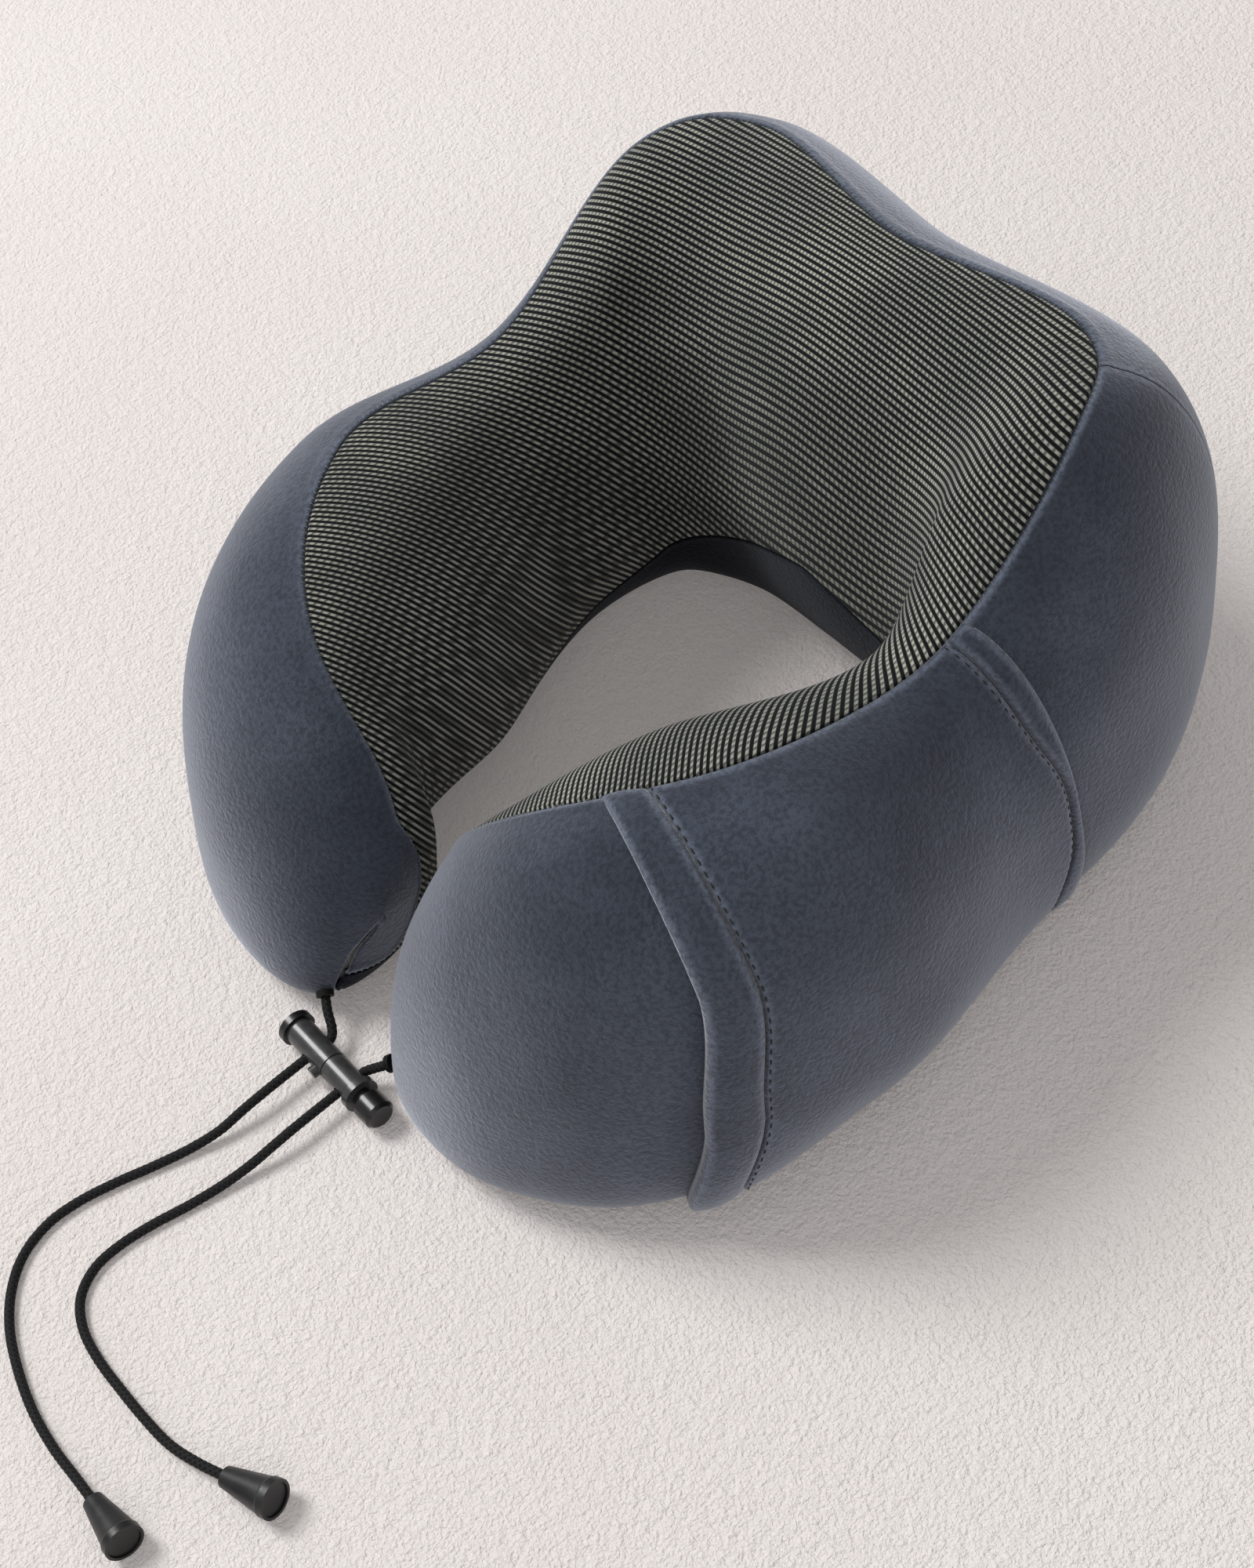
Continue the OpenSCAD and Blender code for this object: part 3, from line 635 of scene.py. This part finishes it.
def panel(name, uu, ll, material, edges, lift=None, thickness=SHEET):
    """A panel of the cover over the grid of shares uu and lines ll. edges gives, for the low line, high
    line, first ring and last ring, the radius and depth with which it rolls into its seam, or None.
    lift(uu, ll, distances) adds relief."""
    points = cover_at(uu, ll)
    normal = grid_normals(points)
    distances = edge_distances(points)
    offset = np.zeros(uu.shape)
    for distance, edge in zip(distances, edges):
        if edge:
            offset += rolled_edge(distance, *edge)
    if lift is not None:
        offset = offset + lift(uu, ll, distances)
    outer = points + normal * offset[..., None]
    inner = points + normal * (np.minimum(offset, 0) * 0.6 + np.maximum(offset, 0) - thickness)[..., None]
    outer[..., 2] = np.maximum(outer[..., 2], 0.1 * MM)
    inner[..., 2] = np.maximum(inner[..., 2], 0.3 * MM)
    piece = thick_sheet(name, outer, inner, material)
    stitched = [d for d, edge in zip(distances, edges) if edge]
    to_edge = np.minimum.reduce(stitched).reshape(-1, 1)
    add_uv(piece, "edge", np.tile(np.concatenate([to_edge, 0 * to_edge], 1), (2, 1)))
    return piece, outer, normal, distances


# ---------------------------------------------------------------- drawcords
CORD_D = 3.2 * MM
ROUTES = {
    "left": [
        (-.017, -.137, .0115), (-.0134, -.1394, .0096), (-.0094, -.1414, .0076), (-.0071, -.1438, .0064),
        (-.007, -.148, .0063), (-.007, -.155, .0063), (-.007, -.163, .0063), (-.007, -.171, .0062),
        (-.0073, -.178, .0054), (-.008, -.187, .0036), (-.0105, -.197, .0022), (-.014, -.208, .0017),
        (-.018, -.220, .0017), (-.021, -.232, .0017), (-.0215, -.243, .0017), (-.018, -.254, .0017),
        (-.0105, -.263, .0017), (0, -.270, .0017), (.013, -.275, .0017), (.027, -.2785, .0018),
        (.041, -.280, .0023), (.054, -.280, .0032), (.066, -.280, .0042),
    ],
    "right": [
        (.0168, -.1373, .0114), (.0146, -.1394, .0098), (.012, -.1414, .0078), (.0101, -.1438, .0064),
        (.010, -.148, .0063), (.010, -.155, .0063), (.010, -.163, .0063), (.010, -.171, .0062),
        (.0097, -.178, .0054), (.0088, -.187, .0036), (.0072, -.197, .0022), (.005, -.208, .0017),
        (.0024, -.219, .0017), (.0008, -.230, .0017), (.0015, -.240, .0017), (.0065, -.2485, .0017),
        (.0155, -.2535, .0017), (.027, -.2555, .0017), (.040, -.2558, .0018), (.053, -.2556, .0021),
        (.065, -.2546, .0027), (.076, -.2516, .0035), (.087, -.2474, .0043),
    ],
}
STRANDS = 8               # strands each way in the braid
BRAID_PITCH = 7.5 * MM    # length in which a strand goes once round the cord
BRAID_RELIEF = 0.16 * MM
CORD_STEP = 0.45 * MM     # between two rings of the cord
CORD_SIDES = 32


def smooth_line(points, step):
    """A Catmull-Rom curve through points, resampled every step metres."""
    p = np.array(points, float)
    p = np.concatenate([[2 * p[0] - p[1]], p, [2 * p[-1] - p[-2]]])
    t = np.linspace(0, 1, 13)[:-1, None]
    parts = [
        (2 * p[k + 1] + t * (p[k + 2] - p[k]) + t * t * (2 * p[k] - 5 * p[k + 1] + 4 * p[k + 2] - p[k + 3])
         + t ** 3 * (3 * p[k + 1] - p[k] - 3 * p[k + 2] + p[k + 3])) / 2
        for k in range(len(p) - 3)
    ]
    line = np.concatenate(parts + [p[-2:-1]])
    length = np.concatenate([[0], np.cumsum(np.linalg.norm(np.diff(line, axis=0), axis=1))])
    at = np.linspace(0, length[-1], int(length[-1] / step) + 1)
    return np.stack([np.interp(at, length, line[:, k]) for k in range(3)], 1), length[-1]


def braided_cord(side):
    path, length = smooth_line(ROUTES[side], CORD_STEP)
    way = np.gradient(path, axis=0)
    way /= np.linalg.norm(way, axis=1, keepdims=True)
    across = np.cross(way, [0, 0, 1])
    across /= np.linalg.norm(across, axis=1, keepdims=True)
    above = np.cross(across, way)
    sides = CORD_SIDES
    angle = np.linspace(0, 2 * math.pi, sides, endpoint=False)[None, :]
    run = np.linspace(0, length, len(path))[:, None] / BRAID_PITCH * 2 * math.pi
    left = np.cos(STRANDS / 2 * (angle + run))
    right = np.cos(STRANDS / 2 * (angle - run))
    relief = np.maximum(left, right) * 0.7 + left * right * 0.3
    radius = CORD_D / 2 - BRAID_RELIEF * (1 - relief)
    points = (path[:, None] + radius[..., None] * (np.cos(angle)[..., None] * across[:, None]
                                                   + np.sin(angle)[..., None] * above[:, None]))
    points[..., 2] = np.maximum(points[..., 2], 0.05 * MM)
    rows = len(path)
    ends = [list(range(sides)), [(rows - 1) * sides + k for k in range(sides)][::-1]]
    faces = grid_faces(rows, sides, close=True).tolist() + ends
    piece = add_mesh("cord_" + side + "_braid", points.reshape(-1, 3), faces, CORD)
    around = np.broadcast_to(angle / (2 * math.pi) * STRANDS / 2, (rows, sides))
    forward = np.broadcast_to(run / (2 * math.pi) * STRANDS / 2, (rows, sides))
    add_uv(piece, "weave", np.stack([around, forward], -1).reshape(-1, 2))
    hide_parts("cord_" + side)
    return piece, path, length


cords = {side: braided_cord(side) for side in ("left", "right")}


# ---------------------------------------------------------------- cover panels
FINE = 2.0 * MM           # grid step of the velour panels
MESH_STEP = 1.7 * MM      # and of the mesh panel
SEAM_U = 0.9 * 5 / 19     # share of the arm at which the back panel meets a side panel
TIP_END = 0.9999          # share at which the panels end, just inside the tip


def seam_bead(height, at, width):
    """Relief of the folded seam allowance that lies under the velour beside the mesh seam."""
    def relief(uu, ll, distances):
        d = distances[1]
        return height * np.exp(-((d - at) / width) ** 2)
    return relief


roll_seam = (1.6 * MM, 1.5 * MM)
roll_side = (0.5 * MM, 0.2 * MM)
roll_base = (1.8 * MM, 1.6 * MM)
bead = seam_bead(0.5 * MM, 2.6 * MM, 1.6 * MM)
outer_lines = line_spread(0.0, LINE_SEAM, FINE)

cover_edges = {}
spans = {"back": (-SEAM_U, SEAM_U), "left": (-TIP_END, -SEAM_U), "right": (SEAM_U, TIP_END)}
for name, (u_from, u_to) in spans.items():
    seam_low, seam_high = name != "left", name != "right"
    rolls = (roll_base, roll_seam, roll_side if seam_low else None, roll_side if seam_high else None)
    uu, ll = over(spacing(u_from, u_to, FINE, (seam_low, seam_high)), outer_lines)
    piece, face, normal, distances = panel("cover_" + name + "_velour", uu, ll, VELOUR, rolls, bead)
    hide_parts("cover_" + name + "_panel")
    cover_edges[name] = (face, normal, distances)


# the ribbed mesh over the top and the neck side
def weave_coordinates(points):
    """Where each point of the mesh panel lies in the cloth that it was cut from, along the ribs and
    across them. The ribs run across the pillow, bow back over the arms and lean with the neck wall."""
    x, y, z = (points[..., k] for k in range(3))
    far = (x / 0.1) ** 2
    across = -(0.97 * y + 0.36 * z + far * (0.24 * z - 0.31 * y))
    return np.stack([x * (1 + z / 0.14), across], -1)


mesh_us = spacing(-TIP_END, TIP_END, MESH_STEP, (False, False))
mesh_uu, mesh_ll = over(mesh_us, line_spread(LINE_SEAM, LINE_BAND, MESH_STEP))
mesh_piece, *_ = panel("cover_ribbed_mesh", mesh_uu, mesh_ll, MESH,
                       ((1.4 * MM, 1.7 * MM), (1.2 * MM, 1.5 * MM), None, None))
weave = weave_coordinates(cover_at(mesh_uu, mesh_ll)).reshape(-1, 2)
add_uv(mesh_piece, "weave", np.concatenate([weave, weave]))
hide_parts("cover_mesh_panel")

# the neck band, a crescent that runs out into a narrow binding, in the velour painted dark as the shade
# inside the neck hole
band_us = spacing(-TIP_END, TIP_END, FINE, (False, False))
band_uu, band_ll = over(band_us, line_spread(LINE_BAND, LINE_FOOT, 0.6 * MM))
band_piece, *_ = panel("cover_neck_velour", band_uu, band_ll, VELOUR_PAINTED_SHADE,
                       ((1.0 * MM, 0.8 * MM), (1.2 * MM, 1.0 * MM), None, None))
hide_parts("cover_neck_band")

# the base, which turns up a little at its edge, in the same velour painted dark as shade
base_us = spacing(-TIP_END, TIP_END, 3.0 * MM, (False, False))
base_uu, base_ll = over(base_us, line_spread(LINE_FOOT, LINE_END, 2.4 * MM))
base_piece, *_ = panel("cover_base_velour", base_uu, base_ll, VELOUR_PAINTED_SHADE,
                       ((1.2 * MM, 1.0 * MM), (1.4 * MM, 1.4 * MM), None, None))
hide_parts("cover_base_panel")


# ---------------------------------------------------------------- foam and liner, under the cover
def inner_body(name, depth, material, node_names):
    us = np.concatenate([-tip_spread(6)[-2::-1], np.linspace(-0.9, 0.9, 81), tip_spread(6)[:-1]])
    lines = np.arange(0, LINE_END, 0.4)
    uu, ll = np.meshgrid(us, lines, indexing="ij")
    points = skin(uu, line_angle(ll, uu))
    points = points - grid_normals(points, True) * depth
    points[..., 2] = np.maximum(points[..., 2], depth)
    rows, columns = points.shape[:2]
    centre = points.mean(1)
    count = rows * columns
    everything = np.concatenate([points.reshape(-1, 3), centre[:1], centre[-1:]])
    faces = grid_faces(rows, columns, close=True).tolist()
    faces += [[k, (k + 1) % columns, count] for k in range(columns)]
    last = (rows - 1) * columns
    faces += [[last + (k + 1) % columns, last + k, count + 1] for k in range(columns)]
    piece = add_mesh(name, everything, faces, material)
    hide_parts(*node_names)


FOAM_DEPTH, LINER_DEPTH = 4.6 * MM, 3.6 * MM   # how far under the plain shape each lies
inner_body("foam_body", FOAM_DEPTH, FOAM, ["foam_core"])
inner_body("liner_sock", LINER_DEPTH, LINER, ["liner_upper", "liner_base"])


# ---------------------------------------------------------------- phone pocket
POCKET_MOUTH, POCKET_REAR = 0.7515, 0.466   # shares of the arm
HEM = 0.0325              # width of the hem, as a share of the arm
SAG = 0.047               # how far mouth and hem run toward the tip near the base
POCKET_RISE = 1.0 * MM    # the pocket's outer face over the cover at its stitched edges
MOUTH_GAPE = 5.6 * MM     # how far the mouth stands off
POCKET_SLACK = 0.7 * MM   # how far the pocket's middle swells
POCKET_T, HEM_T, WELT_T = 1.1 * MM, 2.8 * MM, 2.0 * MM   # thickness of each piece
HEM_CROWN, WELT_CROWN = 1.0 * MM, 0.9 * MM               # how far each stands up in its middle


def sag(line):
    return SAG * smooth_step((4.4 - line) / 3.4)


def mouth(line):
    return POCKET_MOUTH + sag(line)


def hem_seam(line):
    return POCKET_MOUTH - HEM + sag(line)


def rear(line):
    return POCKET_REAR + 0 * line


def welt_seam(line):
    return POCKET_REAR + 0.0185 - 0.012 * np.exp(-((line - 3.3) / 1.2) ** 2)


def pocket_lift(uu, ll):
    """How far the pocket's face stands off the cover: slack toward its mouth, held at both seams."""
    share = (uu - rear(ll)) / (mouth(ll) - rear(ll))
    hang = np.sin(np.pi * np.clip(ll / LINE_SEAM, 0, 1) ** 0.6) ** 0.9
    middle = np.sin(np.pi * np.clip(ll / LINE_SEAM, 0, 1))
    return POCKET_RISE + (middle * POCKET_SLACK * np.sin(np.pi * np.clip(share, 0, 1))
                          + hang * MOUTH_GAPE * smooth_step((share - 0.6) / 0.4))


pocket_lines = line_spread(0.02, LINE_SEAM - 0.03, FINE)


def pocket_piece(name, u_from, u_to, edges, crown, node_names, thickness, step=1.6 * MM):
    """A piece of the pocket between two curved edges, crowned between them."""
    shares = spacing(u_from(4.0), u_to(4.0), step)
    shares = ((shares - shares[0]) / (shares[-1] - shares[0]))[:, None]
    ll = np.broadcast_to(pocket_lines[None, :], (len(shares), len(pocket_lines)))
    uu = u_from(ll) + shares * (u_to(ll) - u_from(ll))

    def lift(uu, ll, distances):
        return pocket_lift(uu, ll) + crown * np.sin(np.pi * shares)

    piece, face, normal, distances = panel(name, uu, ll, VELOUR, edges, lift, thickness)
    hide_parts(*node_names)
    return face, normal, distances


ends = ((1.4 * MM, 1.2 * MM), (1.4 * MM, 1.2 * MM))
pocket_face, pocket_normal, pocket_distances = pocket_piece(
    "pocket_velour", welt_seam, hem_seam, (*ends, (2.2 * MM, 1.6 * MM), (1.5 * MM, 1.4 * MM)),
    0.0, ["pocket_panel"], POCKET_T)
pocket_piece(
    "pocket_hem_fold", hem_seam, mouth, (*ends, (1.5 * MM, 1.4 * MM), (1.5 * MM, 1.5 * MM)),
    HEM_CROWN, ["pocket_hem", "pocket_elastic"], HEM_T, 0.9 * MM)
pocket_piece(
    "pocket_rear_welt", rear, welt_seam, (*ends, (1.4 * MM, 1.5 * MM), (1.4 * MM, 1.4 * MM)),
    WELT_CROWN, ["pocket_welt"], WELT_T, 0.5 * MM)


# ---------------------------------------------------------------- stitching
# a stitch's four rings: place along it, height over the cloth in widths, and thickness
STITCH_AT = np.array([-0.5, -0.17, 0.17, 0.5])
STITCH_BOW = np.array([-0.6, 0.25, 0.25, -0.6])
STITCH_TAPER = (0.45, 1, 1, 0.45)


def stitch_row(name, line, normals, length, gap, width, material, sink, slant=0.0):
    """Short raised stitches along a line of points, as one piece. slant is how far across it each runs."""
    run = np.concatenate([[0], np.cumsum(np.linalg.norm(np.diff(line, axis=0), axis=1))])
    count = int(run[-1] / (length + gap))
    points, faces = [], []
    for k in range(count):
        ends = (k + 0.5) * run[-1] / count + STITCH_AT * length
        spine = np.stack([np.interp(ends, run, line[:, c]) for c in range(3)], 1)
        up = np.stack([np.interp(ends, run, normals[:, c]) for c in range(3)], 1)
        up /= np.linalg.norm(up, axis=1, keepdims=True)
        way = spine[-1] - spine[0]
        way /= np.linalg.norm(way)
        across = np.cross(up, way)
        bow = STITCH_BOW[:, None] * width - sink
        spine = spine + up * bow + across * (slant * STITCH_AT[:, None])
        base = len(points)
        for c, scale in enumerate(STITCH_TAPER):
            for a in range(6):
                turn = a * math.pi / 3
                round_it = math.cos(turn) * across[c] + math.sin(turn) * up[c]
                points.append(spine[c] + width / 2 * scale * round_it)
        for c in range(3):
            for a in range(6):
                b = (a + 1) % 6
                faces.append([base + c * 6 + a, base + c * 6 + b, base + c * 6 + 6 + b, base + c * 6 + 6 + a])
        faces.append([base + a for a in range(5, -1, -1)])
        faces.append([base + 18 + a for a in range(6)])
    return add_mesh(name, points, faces, material)


def row_at(face, normal, distances, which, at):
    """The line on a panel's face that runs at a distance from one of its edges."""
    d = distances[which]
    if which < 2:
        k = np.abs(d - at).argmin(1)
        rows = np.arange(len(face))
        return face[rows, k], normal[rows, k]
    k = np.abs(d - at).argmin(0)
    columns = np.arange(face.shape[1])
    return face[k, columns], normal[k, columns]


for name in ("back", "left", "right"):
    face, normal, distances = cover_edges[name]
    line, up = row_at(face, normal, distances, 1, 0.9 * MM)
    stitches = stitch_row("seam_stitches_" + name, line, up, 0.7 * MM, 1.3 * MM, 0.4 * MM, THREAD,
                          sink=0.05 * MM, slant=1.5 * MM)
hem_line, hem_up = row_at(pocket_face, pocket_normal, pocket_distances, 3, 1.2 * MM)
hem_stitches = stitch_row("hem_stitches", hem_line, hem_up, 2.6 * MM, 0.9 * MM, 0.55 * MM, THREAD_DARK,
                          sink=0.0)
welt_line, welt_up = row_at(pocket_face, pocket_normal, pocket_distances, 2, 1.4 * MM)
welt_stitches = stitch_row("welt_stitches", welt_line, welt_up, 2.6 * MM, 0.9 * MM, 0.5 * MM, THREAD_DARK,
                           sink=0.05 * MM)


# ---------------------------------------------------------------- CAD nodes that stay
KEPT = {
    "zip_tapes": TAPE, "zip_coil_upper": COIL, "zip_coil_lower": COIL, "zip_stops": METAL,
    "zip_slider": METAL, "zip_pull": METAL, "cord_collar_left": CORD, "cord_collar_right": CORD,
    "lock_housing": LOCK, "lock_end_cap": LOCK_CAP, "lock_spring": STEEL, "lock_plunger": LOCK_CAP,
    "cord_end_left": BELL, "cord_end_right": BELL, "cord_end_lid_left": BELL, "cord_end_lid_right": BELL,
    "cord_knot_left": CORD, "cord_knot_right": CORD,
}
for name, material in KEPT.items():
    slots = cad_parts[name].data.materials
    if len(slots):
        slots[0] = material
    else:
        slots.append(material)


# ---------------------------------------------------------------- floor and light
def make_stage():
    half = 3.0
    floor = bpy.data.meshes.new("floor")
    corners = [(-half, -half, 0), (half, -half, 0), (half, half, 0), (-half, half, 0)]
    floor.from_pydata(corners, [], [(0, 1, 2, 3)])
    floor.materials.append(floor_paint())
    plane = bpy.data.objects.new("floor", floor)
    bpy.context.scene.collection.objects.link(plane)
    for name, place, size, power, tone in (
        ("key_light", (-1.9, -0.75, 2.7), 1.5, 80.0, (1.0, 0.99, 0.98)),
        ("fill_light", (1.6, -1.2, 1.3), 2.0, 4.5, (1.0, 0.985, 0.98)),
    ):
        data = bpy.data.lights.new(name, "AREA")
        data.shape = "DISK"
        data.size = size
        data.energy = power
        data.color = tone
        light = bpy.data.objects.new(name, data)
        light.location = place
        light.rotation_euler = (Vector((0, 0, 0.05)) - Vector(place)).to_track_quat("-Z", "Y").to_euler()
        bpy.context.scene.collection.objects.link(light)
    world = bpy.data.worlds.new("room")
    world.use_nodes = True
    world.node_tree.nodes["Background"].inputs[0].default_value = (1.0, 0.982, 0.98, 1)
    world.node_tree.nodes["Background"].inputs[1].default_value = 0.38
    bpy.context.scene.world = world
    bpy.context.scene.view_settings.view_transform = "Standard"


make_stage()
